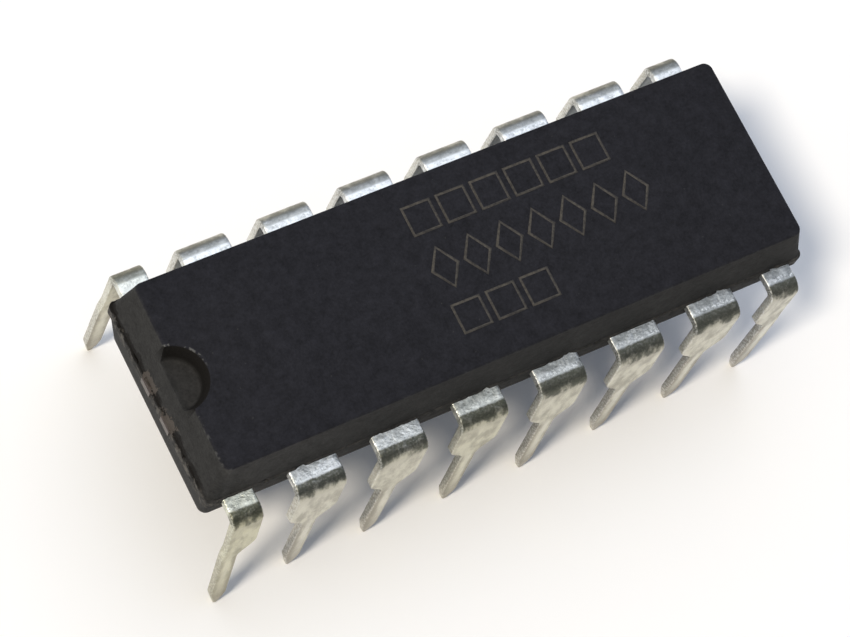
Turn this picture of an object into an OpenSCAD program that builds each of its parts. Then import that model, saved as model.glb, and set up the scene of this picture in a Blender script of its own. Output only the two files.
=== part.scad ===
// Sixteen-lead dual in-line integrated circuit, moulded in plastic round a stamped lead frame.
// Millimetres. Z = 0 is the plane of the lead tips, +X runs away from the notched end,
// the origin lies below the middle of the body. Lead 1 is beside the notch on the -Y side.

/* [Body] */
// Length of the moulded body over the band at its joint line
body_l = 19.1; // [18.6:0.1:19.7]
// Width of the moulded body over the band at its joint line
body_w = 6.3; // [6.1:0.05:6.9]
// Thickness of the moulded body, top face to underside
body_t = 3.56; // [3.2:0.02:3.9]
// Draft of the two end faces, in degrees
end_draft = 13.5; // [8:0.5:16]
// Draft of the two long faces, in degrees
side_draft = 8.5; // [5:0.5:11]
// Radius of the four upright corners
corner_r = 0.3; // [0.15:0.05:0.5]
// Height of the band that the two mould halves leave at their joint
band_h = 0.42; // [0.36:0.02:0.6]
// How far that band stands out from the faces beside it
band_step = 0.06; // [0.03:0.01:0.1]

/* [Notch and ejector marks] */
// Radius of the end notch where it meets the top face
notch_r = 0.97; // [0.7:0.01:1.2]
// Radius of the end notch at its floor
notch_floor_r = 0.78; // [0.5:0.01:1]
// Depth of the end notch
notch_depth = 0.56; // [0.3:0.02:0.8]
// Distance of the notch's centre from the end of the body
notch_inset = 0.3; // [0:0.05:0.4]
// Diameter of the ejector pin marks in the underside
ejector_d = 1.7; // [1:0.1:2.4]
// Depth of the ejector pin marks
ejector_depth = 0.08; // [0.04:0.01:0.15]
// Distance between the two ejector pin marks
ejector_spacing = 11.4; // [8:0.1:13]

/* [Leads] */
// Distance from one lead to the next along a row
pitch = 2.54; // [2.5:0.01:2.56]
// Distance between the outer faces of the two rows, just below the bends
row_w = 7.9; // [7.6:0.05:8.2]
// Thickness of the lead frame
lead_t = 0.25; // [0.2:0.01:0.3]
// Width of the narrow part of a lead
lead_w = 0.48; // [0.38:0.01:0.56]
// Width of a lead's shoulder
shoulder_w = 1.48; // [1.2:0.02:1.7]
// Width that the outer side of a corner lead's shoulder keeps, from the lead's middle
corner_trim = 0.18; // [0.14:0.01:0.24]
// Outer radius of the bend
bend_r = 0.37; // [0.32:0.01:0.45]
// Angle by which the leads spread below the bend, in degrees
splay = 2; // [0:0.5:5]
// Height of the shoulders' top face over the lead tips
lead_h = 6.1; // [5.4:0.1:6.6]
// How far the full shoulder width runs down below the shoulders' top face
shoulder_drop = 1.8; // [1.4:0.05:2]
// Height over which the shoulder narrows to the lead
shoulder_taper = 0.85; // [0.5:0.05:1.1]
// Width of the flat at a lead's tip
tip_w = 0.14; // [0.08:0.02:0.24]
// Height over which a lead narrows to its tip
tip_taper = 0.75; // [0.4:0.05:1]

/* [Lead frame inside the body] */
// How far the full shoulder width runs into the body
embed = 0.55; // [0.45:0.05:0.6]
// Diameter of the hole in each lead's root that the plastic locks into
lock_d = 0.3; // [0.2:0.02:0.32]
// Width of the fingers of the four middle leads of a row at their tips
finger_w = 0.4; // [0.3:0.02:0.42]
// Smallest space between neighbouring pieces of the lead frame
frame_gap = 0.2; // [0.15:0.01:0.21]
// Space between a finger's tip and the paddle
tip_gap = 0.3; // [0.2:0.05:0.35]
// Distance of the tips of the two middle fingers from the body's middle
middle_tip_x = 0.75; // [0.65:0.05:0.85]
// Distance of the tips of the fingers next to them from the body's middle
next_tip_x = 2.1; // [1.9:0.05:2.2]
// Length of the die paddle
paddle_l = 5.2; // [4.8:0.1:5.4]
// Width of the die paddle
paddle_w = 2.7; // [2.5:0.05:2.8]
// How far the paddle lies below the fingers
paddle_drop = 0.15; // [0.1:0.01:0.2]
// Width of the tie bars
tie_w = 0.5; // [0.3:0.02:0.52]
// Distance between the two tie bars at each end
tie_pitch = 1.2; // [1.1:0.02:1.24]
// Length of the tie bars' slope down to the paddle
tie_slope = 0.5; // [0.3:0.05:0.8]
// How far the cut ends of the tie bars stand out from the band
tie_proud = 0.03; // [0.01:0.01:0.06]

/* [Die and bond wires] */
// Length of the silicon die
die_l = 2.4; // [1.8:0.1:2.6]
// Width of the silicon die
die_w = 1.9; // [1.6:0.1:2]
// Thickness of the silicon die
die_t = 0.3; // [0.2:0.02:0.4]
// Thickness of the adhesive below the die
glue_t = 0.04; // [0.02:0.01:0.06]
// How far the adhesive spreads past the die
glue_margin = 0.12; // [0.05:0.01:0.2]
// Distance of the bond pads' centres from the die's edge
pad_inset = 0.15; // [0.1:0.01:0.2]
// Diameter of the bond wires
wire_d = 0.05; // [0.03:0.005:0.06]
// Height of the wires' loop
wire_loop = 0.35; // [0.25:0.05:0.5]
// Diameter of the bonded ball at the die end of a wire
ball_d = 0.13; // [0.1:0.01:0.16]
// Height of the bonded ball
ball_h = 0.05; // [0.03:0.01:0.08]
// Distance of a wire's landing from the tip of its finger
landing_inset = 0.2; // [0.15:0.05:0.3]

/* [Hidden] */
SIDE_LEADS = 8;
LEADS = 2 * SIDE_LEADS;
function two_digits(n) = n < 10 ? str("0", n) : str(n);
function lead_name(n) = str("lead_", two_digits(n));
function wire_name(n) = str("bond_wire_", two_digits(n));

PLASTIC = "#2c2c30";
TINNED = "#b9bab3";
COPPER = "#b8795a";
ADHESIVE = "#b4b6b8";
SILICON = "#4b5368";
GOLD = "#d9b04a";

CORNER_STEPS = 6;
TAPER_STEPS = 8;
WIRE_STEPS = 12;
WIRE_SIDES = 6;
// Overrun of a cutting shape past the face that it cuts
CLEAR = 0.1;

// Heights of the lead frame and of the moulded body
frame_top = lead_h;
frame_bottom = frame_top - lead_t;
frame_mid = frame_top - lead_t / 2;
body_top = frame_mid + body_t / 2;
body_bottom = frame_mid - body_t / 2;
band_top = frame_mid + band_h / 2;
band_bottom = frame_mid - band_h / 2;
paddle_bottom = frame_bottom - paddle_drop;
paddle_top = paddle_bottom + lead_t;
die_bottom = paddle_top + glue_t;
die_top = die_bottom + die_t;

// Axis of the bend, as a distance from the middle plane and a height
bend_y = row_w / 2 - bend_r;
bend_z = frame_top - bend_r;
bend_inner_r = bend_r - lead_t;
root_y = body_w / 2 - embed;
// Middle of the flat part of a shoulder that the plastic holds
lock_y = (root_y + min(body_w / 2, bend_y)) / 2;

function lead_x(k) = (k - (SIDE_LEADS + 1) / 2) * pitch;

// Moulded body

// A level ring of points: a rectangle with rounded corners
function ring(l, w, r, z) = [
    for (corner = [0:3], step = [0:CORNER_STEPS])
        let (
            a = 90 * (corner + step / CORNER_STEPS),
            sx = corner == 0 || corner == 3 ? 1 : -1,
            sy = corner < 2 ? 1 : -1
        )
        [sx * (l / 2 - r) + r * cos(a), sy * (w / 2 - r) + r * sin(a), z]
];

// A closed solid through level rings that have the same number of points, lowest first
module loft(rings) {
    n = len(rings[0]);
    last = len(rings) - 1;
    polyhedron(
        points = [for (r = rings, p = r) p],
        faces = concat(
            [[for (i = [0:n - 1]) i]],
            [for (j = [0:last - 1], i = [0:n - 1])
                [j * n + i, (j + 1) * n + i, (j + 1) * n + (i + 1) % n, j * n + (i + 1) % n]],
            [[for (i = [n - 1:-1:0]) last * n + i]]
        )
    );
}

// Both drafted halves of the body with the band at their joint
module body_block() {
    joint_l = body_l - 2 * band_step;
    joint_w = body_w - 2 * band_step;
    drafted_h = (body_t - band_h) / 2;
    face_l = joint_l - 2 * drafted_h * tan(end_draft);
    face_w = joint_w - 2 * drafted_h * tan(side_draft);
    loft([
        ring(face_l, face_w, corner_r, body_bottom),
        ring(joint_l, joint_w, corner_r, band_bottom),
        ring(body_l, body_w, corner_r + band_step, band_bottom),
        ring(body_l, body_w, corner_r + band_step, band_top),
        ring(joint_l, joint_w, corner_r, band_top),
        ring(face_l, face_w, corner_r, body_top)
    ]);
}

// The drafted round recess that marks the lead 1 end
module end_notch() {
    slope = (notch_r - notch_floor_r) / notch_depth;
    translate([notch_inset - body_l / 2, 0, body_top - notch_depth])
        cylinder(h = notch_depth + CLEAR, r1 = notch_floor_r, r2 = notch_r + CLEAR * slope, $fn = 64);
}

module ejector_marks() {
    for (side = [-1, 1])
        translate([side * ejector_spacing / 2, 0, body_bottom - CLEAR])
            cylinder(h = ejector_depth + CLEAR, d = ejector_d, $fn = 48);
}

module moulded_body() {
    color(PLASTIC)
        difference() {
            body_block();
            end_notch();
            ejector_marks();
            die_paddle();
            die_attach();
            silicon_die();
            for (n = [1:LEADS]) {
                lead(n);
                bond_wire(n);
            }
        }
}

// Lead frame in plan

function unit(v) = v / norm(v);
function turned(v) = [-v[1], v[0]];

// Offset of a path's point i for a strip of unit half width, mitred at the corners
function edge_offset(path, i) =
    let (
        last = len(path) - 1,
        before = turned(unit(path[max(i, 1)] - path[max(i, 1) - 1])),
        after = turned(unit(path[min(i, last - 1) + 1] - path[min(i, last - 1)])),
        middle = unit(before + after)
    )
    middle / (middle * before);

// Outline of a strip along a path, with its half width at each point of the path
function strip(path, halves) = concat(
    [for (i = [0:len(path) - 1]) path[i] + halves[i] * edge_offset(path, i)],
    [for (i = [len(path) - 1:-1:0]) path[i] - halves[i] * edge_offset(path, i)]
);

// Rank of a lead in its row, 0 for the two in the middle and END_RANK for the two at the ends
END_RANK = SIDE_LEADS / 2 - 1;
function rank(k) = abs(k - (SIDE_LEADS + 1) / 2) - 1 / 2;
function side_of(k) = k > SIDE_LEADS / 2 ? 1 : -1;

// The fingers share the room between the tie bars and the lead roots in three lanes, counted outwards.
// The two end leads run along the body in lanes 1 and 2, and the others cross in lane 3.
LANES = 3;
tie_edge = (tie_pitch + tie_w) / 2;
lane_step = (root_y - tie_edge - frame_gap) / LANES;
lane_w = lane_step - frame_gap;
function lane_y(n) = tie_edge + n * lane_step - lane_w / 2;
function run_y(rank) = lane_y(END_RANK - rank + 1);

// Middle line of a finger for a lead at +x, with y growing outwards, from its shoulder to its tip
side_tip_y = paddle_w / 2 + tip_gap;
end_tip_x = paddle_l / 2 + tip_gap;
side_tip_x = [middle_tip_x, next_tip_x];
function finger_path(rank, x) =
    rank < 2 ? [
        [x, root_y + lane_w],
        [x, root_y],
        [side_tip_x[rank], lane_y(LANES)],
        [side_tip_x[rank], side_tip_y]
    ] : [
        [x, root_y + lane_w],
        [x, run_y(rank)],
        [end_tip_x, run_y(rank)]
    ];
function finger_halves(rank) = (rank < 2 ? [lane_w, lane_w, lane_w, finger_w] : [lane_w, lane_w, lane_w]) / 2;

function mirrored(path, side) = [for (p = path) [side * p[0], -p[1]]];
function finger(k) = mirrored(finger_path(rank(k), abs(lead_x(k))), side_of(k));

// Half widths of a shoulder to the left and right of the lead's middle
function shoulder_left(k) = k == 1 ? corner_trim : shoulder_w / 2;
function shoulder_right(k) = k == SIDE_LEADS ? corner_trim : shoulder_w / 2;

// Leads

// One edge of a leg seen from outside, from the bend down: distance from the middle and height
function leg_edge(half, length) = concat(
    [[half, 0]],
    [for (i = [0:TAPER_STEPS])
        let (t = i / TAPER_STEPS)
        [
            lead_w / 2 + (half - lead_w / 2) * (1 + cos(180 * t)) / 2,
            bend_r - shoulder_drop - shoulder_taper * t
        ]],
    [[lead_w / 2, tip_taper - length], [tip_w / 2, -length]]
);

module leg(k) {
    // The leg runs a little past the floor plane, where it is ground level
    length = bend_z / cos(splay) + lead_t * tan(splay);
    left = [for (p = leg_edge(shoulder_left(k), length)) [-p[0], p[1]]];
    right = leg_edge(shoulder_right(k), length);
    outline = concat(left, [for (i = [len(right) - 1:-1:0]) right[i]]);
    difference() {
        translate([0, -bend_y, bend_z])
            rotate([-splay, 0, 0])
                translate([0, -bend_inner_r, 0])
                    rotate([90, 0, 0])
                        linear_extrude(lead_t)
                            polygon(outline);
        translate([-shoulder_w, -row_w, -1])
            cube([2 * shoulder_w, row_w, 1]);
    }
}

module bend(k) {
    left = shoulder_left(k);
    right = shoulder_right(k);
    translate([-left, -bend_y, bend_z])
        rotate([0, -90, 180])
            rotate_extrude(angle = 90 - splay, $fn = 64)
                translate([bend_inner_r, 0])
                    square([lead_t, left + right]);
}

module shoulder_and_finger(k) {
    left = shoulder_left(k);
    right = shoulder_right(k);
    difference() {
        translate([0, 0, frame_bottom])
            linear_extrude(lead_t) {
                translate([lead_x(k) - left, -bend_y])
                    square([left + right, bend_y - root_y]);
                polygon(strip(finger(k), finger_halves(rank(k))));
            }
        translate([lead_x(k) + (right - left) / 2, -lock_y, frame_bottom - CLEAR])
            cylinder(h = lead_t + 2 * CLEAR, d = lock_d, $fn = 32);
    }
}

// Lead k of the row on the -Y side, counted from the notched end
module row_lead(k) {
    translate([lead_x(k), 0, 0]) {
        leg(k);
        bend(k);
    }
    shoulder_and_finger(k);
}

// Leads 1 to 8 stand on the -Y side, and 9 to 16 are the same row turned about the middle
module lead(n) {
    color(TINNED)
        rotate([0, 0, n > SIDE_LEADS ? 180 : 0])
            row_lead(n > SIDE_LEADS ? n - SIDE_LEADS : n);
}

// Paddle and die

// Side view of a tie bar, from the paddle up the slope and out through the end face
module tie_bar() {
    inner = paddle_l / 2 - CLEAR;
    slope_start = paddle_l / 2 + tie_slope / 2;
    slope_end = slope_start + tie_slope;
    outer = body_l / 2 + tie_proud;
    lower = [
        [inner, paddle_bottom],
        [slope_start, paddle_bottom],
        [slope_end, frame_bottom],
        [outer, frame_bottom]
    ];
    outline = concat(lower, [for (i = [3:-1:0]) lower[i] + [0, lead_t]]);
    translate([0, tie_w / 2, 0])
        rotate([90, 0, 0])
            linear_extrude(tie_w)
                polygon(outline);
}

module die_paddle() {
    color(COPPER) {
        translate([-paddle_l / 2, -paddle_w / 2, paddle_bottom])
            cube([paddle_l, paddle_w, lead_t]);
        for (turn = [0, 180], side = [-1, 1])
            rotate([0, 0, turn])
                translate([0, side * tie_pitch / 2, 0])
                    tie_bar();
    }
}

module die_attach() {
    l = die_l + 2 * glue_margin;
    w = die_w + 2 * glue_margin;
    color(ADHESIVE)
        translate([-l / 2, -w / 2, paddle_top])
            cube([l, w, glue_t]);
}

module silicon_die() {
    color(SILICON)
        translate([-die_l / 2, -die_w / 2, die_bottom])
            cube([die_l, die_w, die_t]);
}

// Bond wires

// Middle of the bond pad of a finger, for a lead at +x with y growing outwards
side_pad_y = die_w / 2 - pad_inset;
end_pad_x = die_l / 2 - pad_inset;
function pad_at(rank) =
    rank < 2 ? [(rank + 1 / 2) * end_pad_x / 2, side_pad_y]
    : [end_pad_x, (END_RANK - rank + 1 / 2) * side_pad_y / 2];

// Where the wire lands on its finger
function landing_at(rank) =
    rank < 2 ? [side_tip_x[rank], side_tip_y + landing_inset] : [end_tip_x + landing_inset, run_y(rank)];

// A point of the loop at a share t of its run: it leaves the ball and meets the finger upright
function loop_point(from, to, t) =
    let (
        across = (1 - cos(180 * t)) / 2,
        rise = wire_loop * sin(180 * t)
    )
    [
        from[0] + (to[0] - from[0]) * across,
        from[1] + (to[1] - from[1]) * across,
        from[2] + (to[2] - from[2]) * t + rise
    ];

function loop_tangent(from, to, t) =
    t == 0 ? [0, 0, 1] : t == 1 ? [0, 0, -1] :
    unit(loop_point(from, to, t + 1 / (2 * WIRE_STEPS)) - loop_point(from, to, t - 1 / (2 * WIRE_STEPS)));

// A round wire swept along the loop
module wire_loop_solid(from, to) {
    level = unit([from[1] - to[1], to[0] - from[0], 0]);
    n = WIRE_SIDES;
    points = [
        for (i = [0:WIRE_STEPS])
            let (
                t = i / WIRE_STEPS,
                centre = loop_point(from, to, t),
                normal = cross(loop_tangent(from, to, t), level)
            )
            for (j = [0:n - 1])
                centre + wire_d / 2 * (cos(360 * j / n) * level + sin(360 * j / n) * normal)
    ];
    polyhedron(
        points = points,
        faces = concat(
            [[for (j = [0:n - 1]) j]],
            [for (i = [0:WIRE_STEPS - 1], j = [0:n - 1])
                [i * n + j, (i + 1) * n + j, (i + 1) * n + (j + 1) % n, i * n + (j + 1) % n]],
            [[for (j = [n - 1:-1:0]) WIRE_STEPS * n + j]]
        )
    );
}

// Wire of lead k of the row on the -Y side
module row_wire(k) {
    pad = mirrored([pad_at(rank(k))], side_of(k))[0];
    landing = mirrored([landing_at(rank(k))], side_of(k))[0];
    translate([pad[0], pad[1], die_top])
        cylinder(h = ball_h, d = ball_d, $fn = 24);
    wire_loop_solid([pad[0], pad[1], die_top + ball_h / 2], [landing[0], landing[1], frame_top]);
}

module bond_wire(n) {
    color(GOLD)
        rotate([0, 0, n > SIDE_LEADS ? 180 : 0])
            row_wire(n > SIDE_LEADS ? n - SIDE_LEADS : n);
}

moulded_body();
die_paddle();
die_attach();
silicon_die();
for (n = [1:LEADS]) {
    lead(n);
    bond_wire(n);
}
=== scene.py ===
"""Sixteen-lead dual in-line integrated circuit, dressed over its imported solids.

The moulding and the sixteen leads are built here and stand for their solids, and the plain etched marks are added.
The paddle, the adhesive, the die and the bond wires stay as packed and get their finishes.
Sizes in the classes are millimetres and angles degrees. Every mesh is in metres in the part's own frame.
"""

import logging
import math
from abc import ABC, abstractmethod
from collections.abc import Mapping
from dataclasses import dataclass
from enum import Enum
from functools import cached_property, partial, reduce

import bmesh
import bpy
from mathutils import Matrix, Vector, noise


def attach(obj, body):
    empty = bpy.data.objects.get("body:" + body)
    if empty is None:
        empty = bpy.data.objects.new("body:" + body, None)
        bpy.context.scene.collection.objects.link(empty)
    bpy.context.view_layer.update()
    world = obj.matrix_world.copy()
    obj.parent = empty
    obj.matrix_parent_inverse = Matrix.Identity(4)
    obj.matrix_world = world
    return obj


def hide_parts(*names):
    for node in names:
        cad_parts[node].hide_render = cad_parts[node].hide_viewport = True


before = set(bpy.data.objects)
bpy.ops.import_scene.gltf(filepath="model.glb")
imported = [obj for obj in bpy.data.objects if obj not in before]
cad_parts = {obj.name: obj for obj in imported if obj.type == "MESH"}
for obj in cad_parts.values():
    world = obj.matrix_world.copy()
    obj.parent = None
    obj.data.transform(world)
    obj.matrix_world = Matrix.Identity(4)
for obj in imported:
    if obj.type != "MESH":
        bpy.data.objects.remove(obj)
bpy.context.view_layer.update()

LOG = logging.getLogger("dual_in_line")
MM = 0.001

Socket = bpy.types.NodeSocket
Colour = tuple[float, float, float]
Step = tuple[float, float]
Value = Socket | float | Colour
Inputs = Mapping[str | int, Value]


class Row(Enum):
    """The two rows of leads: the angle by which each is turned about the middle."""

    NEAR = 0.0
    FAR = 180.0


class Slot(Enum):
    """The record's material slots that the pieces use."""

    MOULDING = "moulding"
    LEAD = "tinned_lead"


# Node trees


@dataclass(frozen=True)
class Grain:
    """A noise: its bumps in a millimetre, its layers of detail, their strength and a factor for each axis."""

    scale: float
    detail: float = 3.0
    rough: float = 0.55
    stretch: Colour | None = None


class NodeSheet:
    """Adds nodes to one tree and links them."""

    def __init__(self, tree: bpy.types.NodeTree) -> None:
        """Keeps the shader or geometry tree that the nodes go into."""
        self.tree = tree

    def add(self, kind: str, **settings: object) -> bpy.types.Node:
        """Adds one node.

        Args:
            kind: The node's type name.
            settings: Properties of the node and their values.

        Returns:
            The new node.
        """
        node = self.tree.nodes.new(kind)
        for name, value in settings.items():
            setattr(node, name, value)
        return node

    def feed(self, node: bpy.types.Node, inputs: Inputs) -> None:
        """Fills inputs of a node.

        Args:
            node: The node.
            inputs: By an input's name or number, a socket to link to it or a constant to write on it.
        """
        for key, value in inputs.items():
            target = node.inputs[key]
            if isinstance(value, Socket):
                self.tree.links.new(value, target)
            elif isinstance(value, tuple) and target.type == "RGBA":
                target.default_value = (*value, 1.0)
            else:
                target.default_value = value

    def run(self, kind: str, inputs: Inputs, result: str | int = 0, **settings: object) -> Socket:
        """Adds one node and fills its inputs.

        Args:
            kind: The node's type name.
            inputs: What goes into it, as feed takes it.
            result: The name or number of the output that is wanted.
            settings: Properties of the node and their values.

        Returns:
            That output.
        """
        node = self.add(kind, **settings)
        self.feed(node, inputs)
        return node.outputs[result]

    def math(self, operation: str, *values: Value) -> Socket:
        """Returns what a Math node of this operation makes of the values."""
        return self.run("ShaderNodeMath", dict(enumerate(values)), operation=operation)

    def times(self, *values: Value) -> Socket:
        """Returns the product of the values."""
        return reduce(partial(self.math, "MULTIPLY"), values)

    def plus(self, *values: Value) -> Socket:
        """Returns the sum of the values."""
        return reduce(partial(self.math, "ADD"), values)

    def most(self, *values: Value) -> Socket:
        """Returns the largest of the values."""
        return reduce(partial(self.math, "MAXIMUM"), values)

    def least(self, *values: Value) -> Socket:
        """Returns the smallest of the values."""
        return reduce(partial(self.math, "MINIMUM"), values)

    def minus(self, value: Value, other: Value) -> Socket:
        """Returns the first value less the other."""
        return self.math("SUBTRACT", value, other)

    def size(self, value: Value) -> Socket:
        """Returns a value without its sign."""
        return self.math("ABSOLUTE", value)

    def split(self, vector: Value) -> tuple[Socket, ...]:
        """Returns the x, y and z of a vector."""
        node = self.add("ShaderNodeSeparateXYZ")
        self.feed(node, {0: vector})
        return tuple(node.outputs)

    def join(self, x: Value, y: Value, z: Value) -> Socket:
        """Returns the vector with these three components."""
        return self.run("ShaderNodeCombineXYZ", {0: x, 1: y, 2: z})

    def stretch(self, vector: Value, factors: Colour) -> Socket:
        """Returns a vector multiplied by a factor on each axis."""
        return self.run("ShaderNodeVectorMath", {0: vector, 1: factors}, operation="MULTIPLY")

    def scale(self, vector: Value, amount: Value) -> Socket:
        """Returns a vector or a colour multiplied by a number."""
        return self.run("ShaderNodeVectorMath", {0: vector, "Scale": amount}, operation="SCALE")

    def step(self, value: Value, edges: Step, at: float = 0.0) -> Socket:
        """Returns a soft step.

        Args:
            value: What is judged.
            edges: The values where the step is 0 and where it is 1, and the first may be the larger one.
            at: The place that the edges are counted from.

        Returns:
            The step.
        """
        low, high = (at + edge for edge in edges)
        ends = (1.0, 0.0) if low > high else (0.0, 1.0)
        inputs = dict(enumerate((value, *sorted((low, high)), *ends)))
        return self.run("ShaderNodeMapRange", inputs, interpolation_type="SMOOTHSTEP")

    def span(self, value: Value, ends: Step) -> Socket:
        """Returns a 0 to 1 value as a number from the first end to the second."""
        return self.run("ShaderNodeMapRange", {0: value, 3: ends[0], 4: ends[1]})

    def blend(self, share: Value, first: Value, second: Value, how: str = "MIX") -> Socket:
        """Returns the mix of two colours."""
        return self.run("ShaderNodeMix", {0: share, 6: first, 7: second}, 2, data_type="RGBA", blend_type=how)

    def coats(self, ground: Value, *coats: tuple[Value, Value]) -> Socket:
        """Returns a colour with others laid over it in turn, each given as its share and its colour."""
        return reduce(lambda below, coat: self.blend(coat[0], below, coat[1]), coats, ground)


class Surface(NodeSheet):
    """The nodes of one new material, with its shader and the place on the piece in millimetres."""

    def __init__(self, material: bpy.types.Material) -> None:
        """Turns the material's nodes on and reads the place."""
        material.use_nodes = True
        super().__init__(material.node_tree)
        self.shader = self.tree.nodes["Principled BSDF"]
        self.place = self.stretch(self.add("ShaderNodeTexCoord").outputs["Object"], (1 / MM,) * 3)

    @cached_property
    def xyz(self) -> tuple[Socket, ...]:
        """The place's x, y and z."""
        return self.split(self.place)

    def noise(self, grain: Grain) -> Socket:
        """Returns noise from 0 to 1."""
        place = self.stretch(self.place, grain.stretch) if grain.stretch else self.place
        inputs = {"Vector": place, "Scale": grain.scale, "Detail": grain.detail, "Roughness": grain.rough}
        return self.run("ShaderNodeTexNoise", inputs)

    def relief(self, *layers: tuple[Value, Step]) -> Socket:
        """Returns the normal of layers of relief.

        Args:
            layers: From the lowest up, each one's height from 0 to 1, and its depth and the share of it that shows.

        Returns:
            The normal.
        """
        below: dict[str, Socket] = {}
        for height, (depth, share) in layers:
            inputs = {"Strength": share, "Distance": depth * MM, "Height": height}
            below = {"Normal": self.run("ShaderNodeBump", inputs | below)}
        return below["Normal"]


# Finishes


@dataclass(frozen=True)
class Finish(ABC):
    """A procedural material that is made once.

    A finish's fields hold its colours, its noises and its numbers. A pair of numbers is a soft step's two edges, the
    two ends of a span, or the depth of a relief and the share of it that shows.
    """

    name: str

    def material(self) -> bpy.types.Material:
        """Returns the material, made at its first use."""
        found = bpy.data.materials.get(self.name)
        if found is None:
            found = bpy.data.materials.new(self.name)
            on = Surface(found)
            on.feed(on.shader, self.paint(on))
        return found

    def dress(self, mesh: bpy.types.Mesh) -> None:
        """Makes the material the only one of a mesh."""
        mesh.materials.clear()
        mesh.materials.append(self.material())

    @abstractmethod
    def paint(self, on: Surface) -> Inputs:
        """Returns what goes into the shader.

        Args:
            on: The nodes of the new material.

        Returns:
            The shader's inputs.
        """


@dataclass(frozen=True)
class MouldingFinish(Finish):
    """Black epoxy with a fine eroded grain, paler fresh chips and a dusty joint band, painted light on its sides and
    painted shade in its notch and along its broken-out line.
    """

    # The top and the sides are one epoxy: the sides' lighter colour is painted light, and the colour near the notched
    # end is paler still.
    top: Colour = (0.0158, 0.0160, 0.0200)
    sides: Colour = (0.0265, 0.0262, 0.0255)
    sides_near_notch: Colour = (0.041, 0.040, 0.0385)
    chip: Colour = (0.105, 0.105, 0.10)
    dust: Colour = (0.125, 0.116, 0.104)
    # painted shade for the notch and for the broken-out line above the joint band
    painted_recess_shade: Colour = (0.008, 0.007, 0.006)
    smear: Colour = (0.074, 0.064, 0.056)
    grain: Grain = Grain(13.0, 4.0, 0.65)
    cloud: Grain = Grain(1.1, 3.0, 0.6)
    fleck: Grain = Grain(6.0, 2.0, 0.7)
    mottle: Grain = Grain(3.4, 4.0, 0.7)
    dust_patch: Grain = Grain(5.0, 4.0, 0.7)
    broken_line: Grain = Grain(2.4, 4.0, 0.75)
    smear_edge: Grain = Grain(4.0, 4.0, 0.75)
    top_z: float = 7.755
    half_length: float = 9.113
    half_width: float = 2.856
    band_z: float = 5.975
    band_half: float = 0.23
    end_x: float = 9.2
    foot_z: float = 4.195
    tie_y: float = 0.6
    tie_rise: float = 0.2
    notch_x: float = -9.25
    notch_radius: float = 0.985
    top_edge: Step = (-0.09, -0.02)
    sides_near_notch_x: Step = (-3.0, -8.5)
    end_face_x: Step = (-9.2, -9.0)
    cloud_tone: Step = (0.55, 0.85)
    grain_tone: Step = (-0.7, 0.7)
    mottle_tone: Step = (-0.4, 1.0)
    speck: Step = (0.72, 0.78)
    speck_share: float = 0.25
    wall_radius: Step = (0.76, 0.82)
    wall_dark: Step = (0.45, 1.0)
    wall_end: Step = (1.02, 0.99)
    mouth_x: Step = (-9.3, -9.1)
    below_top: Step = (-0.015, -0.04)
    chip_reach: Step = (-0.12, -0.05)
    rim_width: Step = (0.05, 0.015)
    rim_y: Step = (-0.1, 0.45)
    edge_width: Step = (0.05, 0.01)
    worn_x: Step = (-8.8, -9.0)
    worn_y: Step = (0.0, -1.0)
    edge_wear: Step = (0.08, 0.4)
    chipped: Step = (0.5, 0.62)
    under_band: Step = (-1.1, -0.2)
    over_band: Step = (0.1, 0.0)
    under_share: float = 0.45
    band_edge: Step = (0.04, -0.06)
    dusty: Step = (0.40, 0.68)
    dust_x: Step = (-0.2, 0.1)
    dust_ends: Step = (0.2, 0.9)
    foot_edge: Step = (0.4, 0.05)
    foot_share: float = 0.3
    line_wander: Step = (0.22, -0.42)
    line_width: Step = (0.09, 0.0)
    line_x: Step = (-0.1, 0.1)
    line_y: Step = (-2.95, -2.45)
    smear_wander: Step = (-0.55, 0.55)
    smear_width: Step = (0.34, 0.26)
    smear_height: Step = (0.28, 0.2)
    smear_x: Step = (0.0, 0.1)
    roughness: Step = (0.65, 0.85)
    gloss: float = 0.12
    grain_relief: Step = (0.018, 0.8)
    mottle_relief: Step = (0.035, 0.6)

    def paint(self, on: Surface) -> Inputs:
        """Returns what goes into the shader, as Finish says."""
        x, y, z = on.xyz
        grain, cloud, fleck, mottle = map(on.noise, (self.grain, self.cloud, self.fleck, self.mottle))
        # Painted light: the sides are painted lighter than the top, and paler still towards the notched end.
        near_end = on.times(on.step(x, self.sides_near_notch_x), on.step(x, self.end_face_x))
        sides = on.blend(near_end, self.sides, self.sides_near_notch)
        ground = on.blend(on.step(z, self.top_edge, self.top_z), sides, self.top)
        tones = ((grain, self.grain_tone), (mottle, self.mottle_tone), (cloud, self.cloud_tone))
        along = on.math("POWER", on.minus(x, self.notch_x), 2.0)
        from_notch = on.math("SQRT", on.plus(along, on.math("POWER", y, 2.0)))
        colour = on.coats(
            on.scale(ground, on.plus(*(on.span(*tone) for tone in tones))),
            (on.times(on.step(fleck, self.speck), self.speck_share), self.chip),
            (self.chips(on, fleck, from_notch), self.chip),
            (self.band(on), self.dust),
            (self.broken_line_shade(on), self.painted_recess_shade),
            (self.notch_shade(on, from_notch), self.painted_recess_shade),
            (self.stains(on), self.smear),
        )
        normal = on.relief((grain, self.grain_relief), (mottle, self.mottle_relief))
        return {"Base Color": colour, "Roughness": on.span(grain, self.roughness),
                "Specular IOR Level": self.gloss, "Normal": normal}

    def notch_shade(self, on: Surface, from_notch: Socket) -> Socket:
        """Returns how much painted shade a place gets in the notch: a little on its floor, and more on its wall."""
        x, _, z = on.xyz
        wall = on.span(on.step(from_notch, self.wall_radius), self.wall_dark)
        radial = on.times(wall, on.step(from_notch, self.wall_end))
        return on.times(on.step(x, self.mouth_x), on.step(z, self.below_top, self.top_z), radial)

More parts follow.
